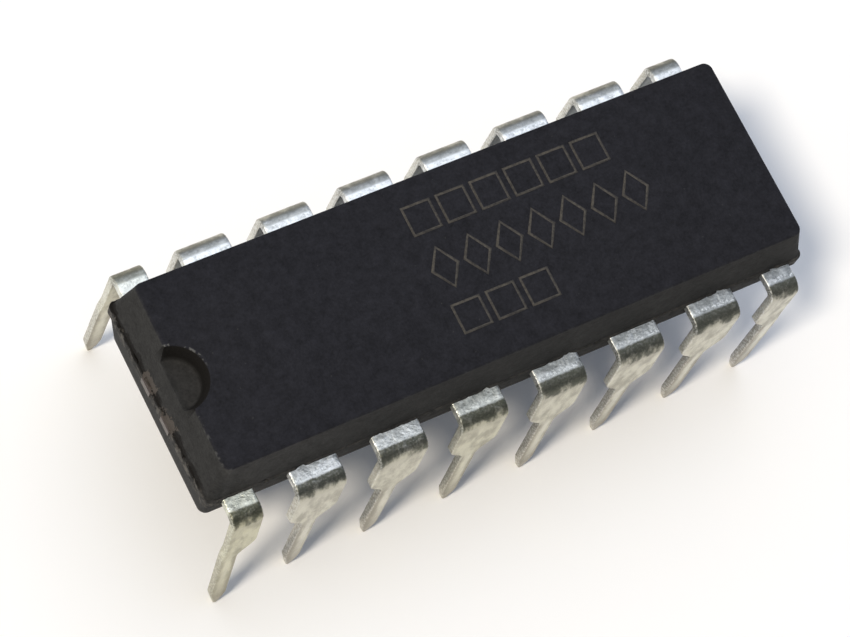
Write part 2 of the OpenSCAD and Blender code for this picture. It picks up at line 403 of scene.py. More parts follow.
    def chips(self, on: Surface, fleck: Socket, from_notch: Socket) -> Socket:
        """Returns how far a place is chipped: along the notch's rim, and along the top edges near its end."""
        x, y, z = on.xyz
        off_rim = on.size(on.minus(from_notch, self.notch_radius))
        rim = on.times(on.step(off_rim, self.rim_width), on.step(y, self.rim_y))
        off_edge = on.least(on.minus(self.half_length, on.size(x)), on.minus(self.half_width, on.size(y)))
        near_half = on.times(on.step(x, self.worn_x), on.step(y, self.worn_y))
        edge = on.times(on.step(off_edge, self.edge_width), on.span(near_half, self.edge_wear))
        near_top = on.step(z, self.chip_reach, self.top_z)
        return on.times(on.most(rim, edge), near_top, on.step(fleck, self.chipped))

    def band(self, on: Surface) -> Socket:
        """Returns how much of the dust colour a place gets: dust patches on the joint band, most of them on the two
        ends, and a paler line of painted light along the bottom edge there.
        """
        x, _, z = on.xyz
        under = on.least(on.step(z, self.under_band, self.band_z), on.step(z, self.over_band, self.band_z))
        off = on.size(on.minus(z, self.band_z))
        at_joint = on.most(on.step(off, self.band_edge, self.band_half), on.times(under, self.under_share))
        dusty = on.times(at_joint, on.step(on.noise(self.dust_patch), self.dusty))
        ends = on.span(on.step(on.size(x), self.dust_x, self.end_x), self.dust_ends)
        # Painted light: a paler line along the rounded bottom edge, in the dust colour.
        painted_foot_light = on.times(on.step(z, self.foot_edge, self.foot_z), self.foot_share)
        return on.times(on.most(dusty, painted_foot_light), ends)

    def broken_line_shade(self, on: Surface) -> Socket:
        """Returns how much painted shade a place gets along the broken-out line above the joint band at the two ends.
        """
        x, y, z = on.xyz
        line = on.size(on.minus(z, self.band_z + self.band_half))
        wandering = on.plus(line, on.span(on.noise(self.broken_line), self.line_wander))
        at_end = on.times(on.step(on.size(x), self.line_x, self.end_x), on.step(y, self.line_y))
        return on.times(on.step(wandering, self.line_width), at_end)

    def stains(self, on: Surface) -> Socket:
        """Returns how much metal is smeared over a place round the ends of the tie bars."""
        x, y, z = on.xyz
        ragged = on.span(on.noise(self.smear_edge), self.smear_wander)
        off_bar = on.size(on.minus(on.size(y), self.tie_y))
        off_line = on.size(on.minus(on.plus(z, ragged), self.band_z + self.tie_rise))
        beside = on.step(on.plus(off_bar, ragged), self.smear_width)
        at_end = on.step(on.size(x), self.smear_x, self.end_x)
        return on.times(beside, on.step(off_line, self.smear_height), at_end)


@dataclass(frozen=True)
class TinFinish(Finish):
    """Dull tin plating: mottled on the shoulder with burnished bumps and a painted highlight at its outer edge,
    cracked over the bend and darkened there by a painted dark reflection, greyer down to the tip.

    The steps along a lead are distances from the start of its bend, and those aside are from its middle line.
    """

    bright: Colour = (0.90, 0.91, 0.90)
    dull: Colour = (0.58, 0.595, 0.58)
    grey: Colour = (0.28, 0.295, 0.29)
    crazed_dark_reflection: Colour = (0.115, 0.118, 0.098)
    leg: Colour = (0.65, 0.63, 0.54)
    leg_dark: Colour = (0.39, 0.37, 0.305)
    streak: Colour = (0.80, 0.785, 0.72)
    tip: Colour = (0.27, 0.242, 0.195)
    olive: Colour = (0.90, 0.89, 0.74)
    mottle: Grain = Grain(5.0, 5.0, 0.7)
    speck: Grain = Grain(15.0, 3.0, 0.6)
    patch: Grain = Grain(2.8, 5.0, 0.62, (1.0, 1.0, 0.4))
    pitch: float = 2.54
    bright_spots: Step = (0.36, 0.6)
    worn_spots: Step = (0.36, 0.66)
    leg_spots: Step = (0.36, 0.62)
    leg_start: Step = (0.02, 0.14)
    upper_leg: Step = (0.95, 0.2)
    upper_tone: Step = (0.2, 1.0)
    narrow_leg: Step = (2.3, 2.9)
    aside_wander: Step = (-0.08, 0.08)
    streak_edge: Step = (0.12, 0.05)
    streak_share: float = 0.55
    side_edge: Step = (0.11, 0.2)
    side_share: float = 0.7
    lower_leg: Step = (3.6, 6.1)
    lower_tone: Step = (0.45, 1.1)
    bend_wander: Step = (-0.09, 0.09)
    bend_start: Step = (-0.07, 0.0)
    bend_drift: Step = (-0.6, 0.6)
    bend_end: float = 0.22
    bend_stop: Step = (0.22, -0.06)
    craze_spots: Step = (0.42, 0.66)
    craze_tone: Step = (1.0, 0.85)
    rim_start: Step = (-0.26, -0.16)
    rim_stop: Step = (-0.05, -0.1)
    rim_spots: Step = (0.46, 0.58)
    torn_spots: Step = (0.42, 0.6)
    torn_tone: Step = (0.15, 0.8)
    torn_share: float = 0.8
    roughness: Step = (0.42, 0.2)
    bend_roughness: float = 0.15
    patina_roughness: float = 0.12
    mottle_relief: Step = (0.03, 0.7)
    patch_relief: Step = (0.05, 0.55)
    speck_relief: Step = (0.010, 0.7)

    def paint(self, on: Surface) -> Inputs:
        """Returns what goes into the shader, as Finish says."""
        along, cut, patina, tint, crazing_and_reflection = (
            on.add("ShaderNodeAttribute", attribute_name=name).outputs["Fac"] for name in READINGS)
        mottle, speck, patch = map(on.noise, (self.mottle, self.speck, self.patch))
        plating = on.blend(on.step(mottle, self.bright_spots), self.dull, self.bright)
        worn = on.blend(on.step(mottle, self.worn_spots), self.grey, self.dull)
        ragged = on.plus(along, on.span(mottle, self.bend_wander))
        drifting = on.plus(along, on.span(patch, self.bend_drift))
        bend_stop = on.step(drifting, self.bend_stop, self.bend_end)
        over_bend = on.times(on.step(ragged, self.bend_start), bend_stop, crazing_and_reflection)
        grains = on.span(on.step(speck, self.craze_spots), self.craze_tone)
        rim_burnish_and_highlight = on.times(on.step(ragged, self.rim_start), on.step(ragged, self.rim_stop))
        torn = on.times(cut, on.span(on.step(speck, self.torn_spots), self.torn_tone))
        colour = on.coats(
            plating,
            (patina, worn),
            (on.step(along, self.leg_start), self.leg_colour(on, along, mottle, speck, patch)),
            # Cracked plating with a painted dark reflection over the bend, standing for the dark surroundings that it
            # mirrors.
            (on.times(over_bend, grains), self.crazed_dark_reflection),
            # Burnished bumps and a painted highlight along the shoulder's outer edge.
            (on.times(rim_burnish_and_highlight, on.step(speck, self.rim_spots)), self.bright),
            (on.times(torn, self.torn_share), self.bright),
        )
        roughness = on.plus(on.span(mottle, self.roughness), on.times(over_bend, self.bend_roughness),
                            on.times(patina, self.patina_roughness))
        normal = on.relief((mottle, self.mottle_relief), (patch, self.patch_relief), (speck, self.speck_relief))
        return {"Base Color": on.blend(tint, colour, self.olive, "MULTIPLY"), "Roughness": roughness,
                "Metallic": 1.0, "Normal": normal}

    def leg_colour(self, on: Surface, along: Socket, mottle: Socket, speck: Socket, patch: Socket) -> Socket:
        """Returns the leg's colour: dark under the bend and at the tip, with a light streak down its narrow part."""
        below_bend = on.times(on.step(along, self.upper_leg), on.span(mottle, self.upper_tone))
        narrow = on.step(along, self.narrow_leg)
        turn = on.math("FRACT", on.math("DIVIDE", on.xyz[0], self.pitch))
        off_middle = on.times(on.size(on.minus(turn, 0.5)), self.pitch)
        aside = on.plus(off_middle, on.span(mottle, self.aside_wander))
        return on.coats(
            on.blend(on.step(patch, self.leg_spots), self.leg_dark, self.leg),
            (below_bend, self.leg_dark),
            (on.times(narrow, on.step(aside, self.streak_edge), self.streak_share), self.streak),
            (on.times(narrow, on.step(aside, self.side_edge), self.side_share), self.tip),
            (on.times(on.step(along, self.lower_leg), on.span(speck, self.lower_tone)), self.tip),
        )


@dataclass(frozen=True)
class CopperFinish(Finish):
    """Bare copper alloy, tarnished on the sawn ends of the tie bars."""

    bare: Colour = (0.60, 0.38, 0.27)
    tarnish: Colour = (0.047, 0.041, 0.037)
    rolled: Grain = Grain(2.0, stretch=(0.6, 9.0, 9.0))
    patch: Grain = Grain(7.0, 4.0, 0.65)
    cut_x: float = 9.4
    cut_edge: Step = (-0.1, 0.0)
    cut_tone: Step = (0.9, 1.0)
    cut_metal: Step = (1.0, 0.0)
    stained: Step = (0.5, 0.75)
    stain_share: float = 0.35
    roughness: Step = (0.3, 0.5)
    patch_relief: Step = (0.02, 0.4)
    rolled_relief: Step = (0.01, 0.5)

    def paint(self, on: Surface) -> Inputs:
        """Returns what goes into the shader, as Finish says."""
        rolled, patch = on.noise(self.rolled), on.noise(self.patch)
        cut = on.step(on.size(on.xyz[0]), self.cut_edge, self.cut_x)
        spots = on.times(on.step(patch, self.stained), self.stain_share)
        stain = on.most(on.times(cut, on.span(patch, self.cut_tone)), spots)
        normal = on.relief((patch, self.patch_relief), (rolled, self.rolled_relief))
        return {"Base Color": on.blend(stain, self.bare, self.tarnish), "Metallic": on.span(cut, self.cut_metal),
                "Roughness": on.span(rolled, self.roughness), "Normal": normal}


@dataclass(frozen=True)
class AdhesiveFinish(Finish):
    """Epoxy filled with silver flakes."""

    resin: Colour = (0.46, 0.46, 0.47)
    flake: Colour = (0.80, 0.80, 0.80)
    filler: Grain = Grain(30.0, 2.0, 0.7)
    flake_edge: Step = (0.52, 0.62)
    metal: Step = (0.1, 0.9)
    roughness: Step = (0.5, 0.3)
    relief: Step = (0.003, 0.5)

    def paint(self, on: Surface) -> Inputs:
        """Returns what goes into the shader, as Finish says."""
        flakes = on.step(on.noise(self.filler), self.flake_edge)
        return {"Base Color": on.blend(flakes, self.resin, self.flake), "Metallic": on.span(flakes, self.metal),
                "Roughness": on.span(flakes, self.roughness), "Normal": on.relief((flakes, self.relief))}


@dataclass(frozen=True)
class SiliconFinish(Finish):
    """Polished silicon with the plain blocks and lanes of a circuit on its faces."""

    wafer: Colour = (0.115, 0.125, 0.165)
    block: Colour = (0.22, 0.20, 0.25)
    lane: Colour = (0.34, 0.36, 0.36)
    haze: Grain = Grain(20.0)
    blocks: float = 4.0
    disorder: float = 0.6
    block_edge: Step = (0.42, 0.46)
    lane_pitch: float = 0.02
    lane_edge: Step = (0.013, 0.017)
    lane_share: float = 0.6
    metal: float = 0.5
    roughness: Step = (0.1, 0.2)

    def paint(self, on: Surface) -> Inputs:
        """Returns what goes into the shader, as Finish says."""
        x, y, _ = on.xyz
        plan = {"Vector": on.stretch(on.place, (1.0, 1.0, 0.0)), "Scale": self.blocks, "Randomness": self.disorder}
        cells = on.run("ShaderNodeTexVoronoi", plan, "Distance", distance="CHEBYCHEV", feature="F1")
        comb = on.math("PINGPONG", on.plus(x, y), self.lane_pitch)
        colour = on.blend(on.step(cells, self.block_edge), self.block, self.wafer)
        colour = on.blend(on.times(on.step(comb, self.lane_edge), self.lane_share), colour, self.lane)
        return {"Base Color": colour, "Roughness": on.span(on.noise(self.haze), self.roughness),
                "Metallic": self.metal}


@dataclass(frozen=True)
class GoldFinish(Finish):
    """Drawn gold wire."""

    gold: Colour = (0.86, 0.60, 0.20)
    shade: Colour = (0.72, 0.47, 0.14)
    drawn: Grain = Grain(25.0, 2.0)
    roughness: Step = (0.18, 0.32)

    def paint(self, on: Surface) -> Inputs:
        """Returns what goes into the shader, as Finish says."""
        drawn = on.noise(self.drawn)
        return {"Base Color": on.blend(drawn, self.shade, self.gold), "Metallic": 1.0,
                "Roughness": on.span(drawn, self.roughness)}


@dataclass(frozen=True)
class EtchFinish(Finish):
    """Marks that a laser has etched: tan, faint and broken up by the moulding's grain."""

    tan: Colour = (0.078, 0.071, 0.060)
    faint: Colour = (0.040, 0.037, 0.034)
    grain: Grain = Grain(11.0, 4.0, 0.7)
    faint_edge: Step = (0.34, 0.64)
    roughness: Step = (0.7, 0.9)
    gloss: float = 0.25
    relief: Step = (0.01, 0.6)

    def paint(self, on: Surface) -> Inputs:
        """Returns what goes into the shader, as Finish says."""
        grain = on.noise(self.grain)
        return {"Base Color": on.blend(on.step(grain, self.faint_edge), self.faint, self.tan),
                "Roughness": on.span(grain, self.roughness), "Specular IOR Level": self.gloss,
                "Normal": on.relief((grain, self.relief))}


@dataclass(frozen=True)
class FloorFinish(Finish):
    """Plain pale paper with a faint unevenness of tone, which the camera sees a little whiter by the factor lift."""

    paper: Colour = (0.95, 0.95, 0.95)
    cream: Colour = (0.962, 0.958, 0.950)
    lift: float = 1.03
    patch: Grain = Grain(0.16)
    patch_edge: Step = (0.45, 0.75)
    fibre: Grain = Grain(3.0)
    roughness: Step = (0.7, 0.9)
    gloss: float = 0.1

    def paint(self, on: Surface) -> Inputs:
        """Returns what goes into the shader, as Finish says."""
        seen = on.span(on.add("ShaderNodeLightPath").outputs["Is Camera Ray"], (1.0, self.lift))
        colour = on.blend(on.step(on.noise(self.patch), self.patch_edge), self.paper, self.cream)
        return {"Base Color": on.scale(colour, seen), "Roughness": on.span(on.noise(self.fibre), self.roughness),
                "Specular IOR Level": self.gloss}


# Meshes


def plain_mesh(piece: bpy.types.Object) -> None:
    """Turns what a piece's modifiers make into its own mesh and removes them."""
    bpy.context.view_layer.update()
    graph = bpy.context.evaluated_depsgraph_get()
    made = bpy.data.meshes.new_from_object(
        piece.evaluated_get(graph), preserve_all_data_layers=True, depsgraph=graph)
    piece.modifiers.clear()
    piece.data = made
    made.name = piece.name


def linked(name: str, data: bpy.types.ID) -> bpy.types.Object:
    """Returns a new object of this name and data, linked to the scene."""
    piece = bpy.data.objects.new(name, data)
    bpy.context.scene.collection.objects.link(piece)
    return piece


def side_faces(count: int, rings: int) -> list[tuple[int, ...]]:
    """Returns the faces between each ring of count points and the next one."""
    return [(base + i, base + (i + 1) % count, base + count + (i + 1) % count, base + count + i)
            for base in range(0, (rings - 1) * count, count) for i in range(count)]


def shade_smooth(mesh: bpy.types.Mesh, sharp_angle: float) -> None:
    """Smooths a mesh's shading but for the edges that turn by more than an angle."""
    for face in mesh.polygons:
        face.use_smooth = True
    mesh.set_sharp_from_angle(angle=math.radians(sharp_angle))


def mount(piece: bpy.types.Object, slot: Slot, *nodes: str) -> None:
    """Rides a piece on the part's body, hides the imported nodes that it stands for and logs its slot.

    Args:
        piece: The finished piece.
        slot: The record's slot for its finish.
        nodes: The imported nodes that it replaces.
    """
    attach(piece, "root")
    if nodes:
        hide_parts(*nodes)
    LOG.info("%s: %d faces, slot %s", piece.name, len(piece.data.polygons), slot.value)


class ShapeSheet(NodeSheet):
    """The nodes of one new geometry tree, with its named inputs."""

    def __init__(self, name: str, result: str, kinds: Mapping[str, str]) -> None:
        """Opens the tree.

        Args:
            name: The tree's name.
            result: Its output's name.
            kinds: The kind of each input by its name.
        """
        super().__init__(bpy.data.node_groups.new(name, "GeometryNodeTree"))
        for label, kind in kinds.items():
            self.tree.interface.new_socket(label, in_out="INPUT", socket_type=f"NodeSocket{kind}")
        self.tree.interface.new_socket(result, in_out="OUTPUT", socket_type="NodeSocketGeometry")
        self.given = self.add("NodeGroupInput").outputs

    def close(self, shape: Socket) -> None:
        """Realizes a shape's instances, gives it the material of the input Finish and makes it the result."""
        real = self.run("GeometryNodeRealizeInstances", {"Geometry": shape})
        dressed = self.run("GeometryNodeSetMaterial", {"Geometry": real, "Material": self.given["Finish"]})
        self.feed(self.add("NodeGroupOutput"), {0: dressed})

    def shape(self, piece: bpy.types.Object, values: Mapping[str, object]) -> None:
        """Runs the tree on a piece and leaves a plain mesh.

        Args:
            piece: The piece.
            values: The value of each input by its name.
        """
        maker = piece.modifiers.new(self.tree.name, "NODES")
        maker.node_group = self.tree
        for socket in self.tree.interface.items_tree:
            if socket.in_out == "INPUT" and socket.name in values:
                maker[socket.identifier] = values[socket.name]
        plain_mesh(piece)


@dataclass(frozen=True)
class Level:
    """One level ring of the moulding's skin."""

    z: float
    half_length: float
    half_width: float
    wear: float = 0.0
    sag: float = 0.0


@dataclass
class MouldedBody:
    """The black moulding: two drafted halves with a chipped joint band, an end notch and ejector marks.

    Each row of low_rings and high_rings is a ring of the band: its height over the band's bottom or top, its inset,
    its wear and its sag. The fractal's numbers are its roughness, its lacunarity and its octaves.
    """

    length: float = 19.1
    width: float = 6.3
    top: float = 7.755
    bottom: float = 4.195
    end_draft: float = 13.5
    lower_end_draft: float = 8.0
    side_draft: float = 8.5
    corner_radii: tuple[float, float, float, float] = (0.25, 0.20, 0.25, 0.25)
    band_top: float = 6.185
    band_bottom: float = 5.765
    band_step: float = 0.06
    edge_radius: float = 0.06
    lower_shares: tuple[float, ...] = (0.35, 0.7, 0.97)
    lower_wear: float = 0.002
    upper_shares: tuple[float, ...] = (0.03, 0.3, 0.65)
    upper_wear: float = 0.003
    low_rings: tuple[tuple[float, float, float, float], ...] = (
        (0.0, 0.055, 0.0, 0.0), (0.005, 0.012, 0.012, 0.0), (0.03, 0.0, 0.02, 0.0), (0.10, 0.0, 0.018, 0.0),
        (0.17, 0.0, 0.018, 0.0), (0.24, 0.0, 0.022, 0.0), (0.31, 0.0, 0.045, 0.03),
    )
    high_rings: tuple[tuple[float, float, float, float], ...] = (
        (-0.03, 0.0, 0.07, 0.08), (-0.006, 0.014, 0.075, 0.09), (0.0, 0.052, 0.03, 0.04),
    )
    fractal: tuple[float, float, int] = (1.0, 2.0, 4)
    rough_scale: float = 6.0
    chip_scale: float = 2.6
    chip_shift: tuple[float, float, float] = (7.0, 3.0, 0.0)
    chip_floor: float = 0.12
    notched_end: float = 0.4
    notched_wear: float = 1.9
    corner_clear: float = 0.15
    corner_fade: float = 0.45
    worn_in: tuple[float, float] = (0.35, 1.6)
    worn_down: tuple[float, float] = (0.2, 1.5)
    notch_radius: float = 0.97
    notch_floor_radius: float = 0.78
    notch_depth: float = 0.56
    notch_inset: float = 0.3
    notch_fillet: float = 0.09
    notch_fillet_steps: int = 5
    notch_facets: int = 120
    rim_bevel: float = 0.025
    rim_start: float = -9.0
    level_error: float = 1e-7
    radius_error: float = 4e-6
    ejector_diameter: float = 1.7
    ejector_depth: float = 0.08
    ejector_chamfer: float = 0.02
    ejector_spacing: float = 11.4
    ejector_facets: int = 72
    clearance: float = 0.1
    step: float = 0.045
    corner_steps: int = 12
    fillet_steps: int = 4
    sharp_angle: float = 28.0
    finish: Finish = MouldingFinish("black_moulding")

    def build(self) -> None:
        """Builds, dresses and rides the moulding."""
        body = linked("moulding", self.skin())
        cutter = linked("moulding_cutter", self.cutters())
        cut = body.modifiers.new("cut", "BOOLEAN")
        cut.object, cut.operation, cut.solver = cutter, "DIFFERENCE", "EXACT"
        plain_mesh(body)
        bpy.data.objects.remove(cutter)
        self.soften_rim(body.data)
        self.finish.dress(body.data)
        mount(body, Slot.MOULDING, "moulded_body")

    @property
    def notch_axis(self) -> Vector:
        """The place of the notch's axis."""
        return Vector((self.notch_inset - self.length / 2, 0, 0))

    def drafted(self, z: float, inset: float = 0.0, wear: float = 0.0) -> Level:
        """Returns the ring of a drafted face at a height, moved in by an inset."""
        above = z > self.band_top
        rise = z - self.band_top if above else self.band_bottom - z
        end_draft = self.end_draft if above else self.lower_end_draft
        half_length, half_width = (
            side / 2 - self.band_step - rise * math.tan(math.radians(draft)) - inset
            for side, draft in ((self.length, end_draft), (self.width, self.side_draft)))
        return Level(z, half_length, half_width, wear)

    def rounded(self, face_z: float, to_joint: int) -> list[Level]:
        """Returns the rings of a flat face's rounded edge, from the side to the face.

        Args:
            face_z: The height of the face.
            to_joint: 1 where the joint lies above the face, and -1 where it lies below.

        Returns:
            The rings.
        """
        r = self.edge_radius
        turns = [math.pi / 2 * i / self.fillet_steps for i in range(self.fillet_steps + 1)]
        return [self.drafted(face_z + to_joint * r * (1 - math.sin(a)), r * (1 - math.cos(a))) for a in turns]

    def levels(self) -> list[Level]:
        """Returns the rings from the underside to the top face."""
        low, high = self.band_bottom, self.band_top
        band = [(low, *ring) for ring in self.low_rings] + [(high, *ring) for ring in self.high_rings]
        return [
            *reversed(self.rounded(self.bottom, 1)),
            *(self.drafted(self.bottom + share * (low - self.bottom), 0.0, self.lower_wear)
              for share in self.lower_shares),
            *(Level(start + rise, self.length / 2 - inset, self.width / 2 - inset, wear, sag)
              for start, rise, inset, wear, sag in band),
            *(self.drafted(high + share * (self.top - high), 0.0, self.upper_wear) for share in self.upper_shares),
            *self.rounded(self.top, -1),
        ]

    def ring(self, level: Level) -> list[Vector]:
        """Returns the points of one level ring, worn and chipped by noise."""
        counts = [round(side / self.step) for side in (self.length, self.width)]
        arcs: list[list[Vector]] = []
        for corner, (r, sx, sy) in enumerate(zip(self.corner_radii, (1, -1, -1, 1), (1, 1, -1, -1))):
            centre = Vector((sx * (level.half_length - r), sy * (level.half_width - r), level.z))
            turns = (math.pi / 2 * (corner + i / self.corner_steps) for i in range(self.corner_steps + 1))
            arcs.append([centre + r * Vector((math.cos(a), math.sin(a), 0)) for a in turns])
        points: list[Vector] = []
        for corner, arc in enumerate(arcs):
            count, after = counts[corner % 2], arcs[(corner + 1) % 4][0]
            points.extend(arc)
            points.extend(arc[-1].lerp(after, j / count) for j in range(1, count))
        return [self.worn(point, level) for point in points]

    def worn(self, point: Vector, level: Level) -> Vector:
        """Returns a ring's point moved in and down by the wear of its level, more so at the notched end."""
        if not level.wear:
            return point * MM
        rough = 0.5 + 0.5 * noise.fractal(point * self.rough_scale, *self.fractal)
        coarse = noise.fractal(point * self.chip_scale + Vector(self.chip_shift), *self.fractal)
        chip = max(0.0, coarse - self.chip_floor)
        from_corner = max(self.width / 2 - abs(point.y), self.length / 2 - abs(point.x))
        more = self.notched_wear if point.x < -self.length / 2 + self.notched_end else 1.0
        more *= min(1.0, max(0.0, (from_corner - self.corner_clear) / self.corner_fade))
        inward = level.wear * more * (self.worn_in[0] * rough + self.worn_in[1] * chip)
        shrink = Vector((1 - inward / level.half_length, 1 - inward / level.half_width, 1))
        moved = Vector(a * b for a, b in zip(point, shrink))
        moved.z -= level.sag * more * (self.worn_down[0] * rough + self.worn_down[1] * chip)
        return moved * MM

    def skin(self) -> bpy.types.Mesh:
        """Returns the closed skin through all the rings."""
        rings = [self.ring(level) for level in self.levels()]
        count = len(rings[0])
        points = [point for ring in rings for point in ring]
        underside, top = tuple(reversed(range(count))), tuple(range(len(points) - count, len(points)))
        mesh = bpy.data.meshes.new("moulding")
        mesh.from_pydata(points, [], [underside, *side_faces(count, len(rings)), top])
        mesh.validate()
        return mesh

    def cutters(self) -> bpy.types.Mesh:
        """Returns the notch's drafted cutter and the two ejector marks as one mesh."""
        craft = bmesh.new()
        slope = (self.notch_radius - self.notch_floor_radius) / self.notch_depth
        floor, over = self.top - self.notch_depth, self.top + self.clearance
        turns = [math.pi / 2 * i / self.notch_fillet_steps for i in range(self.notch_fillet_steps + 1)]
        fillet = [(self.notch_floor_radius - self.notch_fillet * (1 - math.sin(a)),
                   floor + self.notch_fillet * (1 - math.cos(a))) for a in turns]
        notch = [(0.0, floor), *fillet, (self.notch_radius, self.top),
                 (self.notch_radius + slope * self.clearance, over), (0.0, over)]
        self.revolve(craft, notch, self.notch_axis, self.notch_facets)
        radius, chamfer = self.ejector_diameter / 2, self.ejector_chamfer
        under, deep = self.bottom - self.clearance, self.bottom + self.ejector_depth
        mark = [(0.0, under), (radius, under), (radius, deep - chamfer), (radius - chamfer, deep), (0.0, deep)]
        for side in (-1, 1):
            self.revolve(craft, mark, Vector((side * self.ejector_spacing / 2, 0, 0)), self.ejector_facets)
        bmesh.ops.recalc_face_normals(craft, faces=craft.faces)
        mesh = bpy.data.meshes.new("moulding_cutter")
        craft.to_mesh(mesh)
        craft.free()
        return mesh

    def revolve(self, craft: bmesh.types.BMesh, profile: list[tuple[float, float]], at: Vector, facets: int) -> None:
        """Adds a solid of revolution about an upright axis.

        Args:
            craft: The mesh that it is added to.
            profile: Radius and height of each point, from axis to axis.
            at: The axis's place.
            facets: The number of faces round it.
        """
        rows: list[list[bmesh.types.BMVert]] = []
        for radius, z in profile:
            if radius == 0.0:
                rows.append([craft.verts.new((at + Vector((0, 0, z))) * MM)] * facets)
                continue
            turns = (math.tau * i / facets for i in range(facets))
            rows.append([craft.verts.new((at + Vector((radius * math.cos(a), radius * math.sin(a), z))) * MM)
                         for a in turns])
        for low, high in zip(rows, rows[1:]):
            for i in range(facets):
                after = (i + 1) % facets
                craft.faces.new(tuple(dict.fromkeys((low[i], low[after], high[after], high[i]))))

    def on_rim(self, place: Vector) -> bool:
        """Says whether a place of the cut moulding, in metres, is on the notch's rim in the top face."""
        off_axis = (place.xy - self.notch_axis.xy * MM).length
        return (abs(place.z - self.top * MM) < self.level_error and place.x > self.rim_start * MM
                and abs(off_axis - self.notch_radius * MM) < self.radius_error)

    def soften_rim(self, mesh: bpy.types.Mesh) -> None:
        """Bevels the notch's rim on the top face and marks the other edges sharp by their angle."""
        craft = bmesh.new()
        craft.from_mesh(mesh)
        rim = [edge for edge in craft.edges if all(self.on_rim(vert.co) for vert in edge.verts)]
        LOG.info("notch rim: %d edges", len(rim))
        bmesh.ops.bevel(craft, geom=rim, offset=self.rim_bevel * MM, segments=2, profile=0.5, affect="EDGES")
        bmesh.ops.triangulate(craft, faces=[face for face in craft.faces if len(face.verts) > 4])
        craft.to_mesh(mesh)
        craft.free()
        shade_smooth(mesh, self.sharp_angle)


@dataclass(frozen=True)
class Station:
    """One cross-section of a flat lead: its middle, the direction across it and its two half widths."""

    middle: Vector
    across: Vector
    left: float
    right: float
    half_thickness: float


@dataclass(frozen=True)
class Hand:
    """How one lead was handled: its leg's extra splay and lean, its patina and tint, and the share of cracked plating
    and painted dark reflection over its bend.
    """

    splay: float = 0.0
    lean: float = 0.0
    patina: float = 0.0
    tint: float = 0.0
    crazing_and_reflection: float = 1.0


HANDS = {
    Row.NEAR: (
        Hand(2.3, -0.6, 0.05, 0.9), Hand(0.4, 0.5, 0.05, 0.15), Hand(0.6, 1.0, 0.2, 0.25), Hand(0.8, 0.2, 0.45, 0.5),
        Hand(1.2, 0.2, 0.55, 0.2), Hand(-0.3, -0.7, 0.6, 0.15), Hand(-0.8, -0.4, 0.7, 0.1), Hand(-1.2, 0.4, 0.9),
    ),
    # The far row's bends get less of the painted dark reflection.
    Row.FAR: tuple(Hand(0.0, 0.0, *wear) for wear in (
        (0.1, 0.1, 0.6), (0.0, 0.1, 0.5), (0.0, 0.0, 0.55), (0.0, 0.1, 0.5),
        (0.0, 0.0, 0.55), (0.05, 0.1, 0.5), (0.0, 0.1, 0.5), (0.2, 0.5, 0.6),
    )),
}
HAND_READINGS = ("patina", "tint", "crazing_and_reflection")
READINGS = ("along", "cut", *HAND_READINGS)


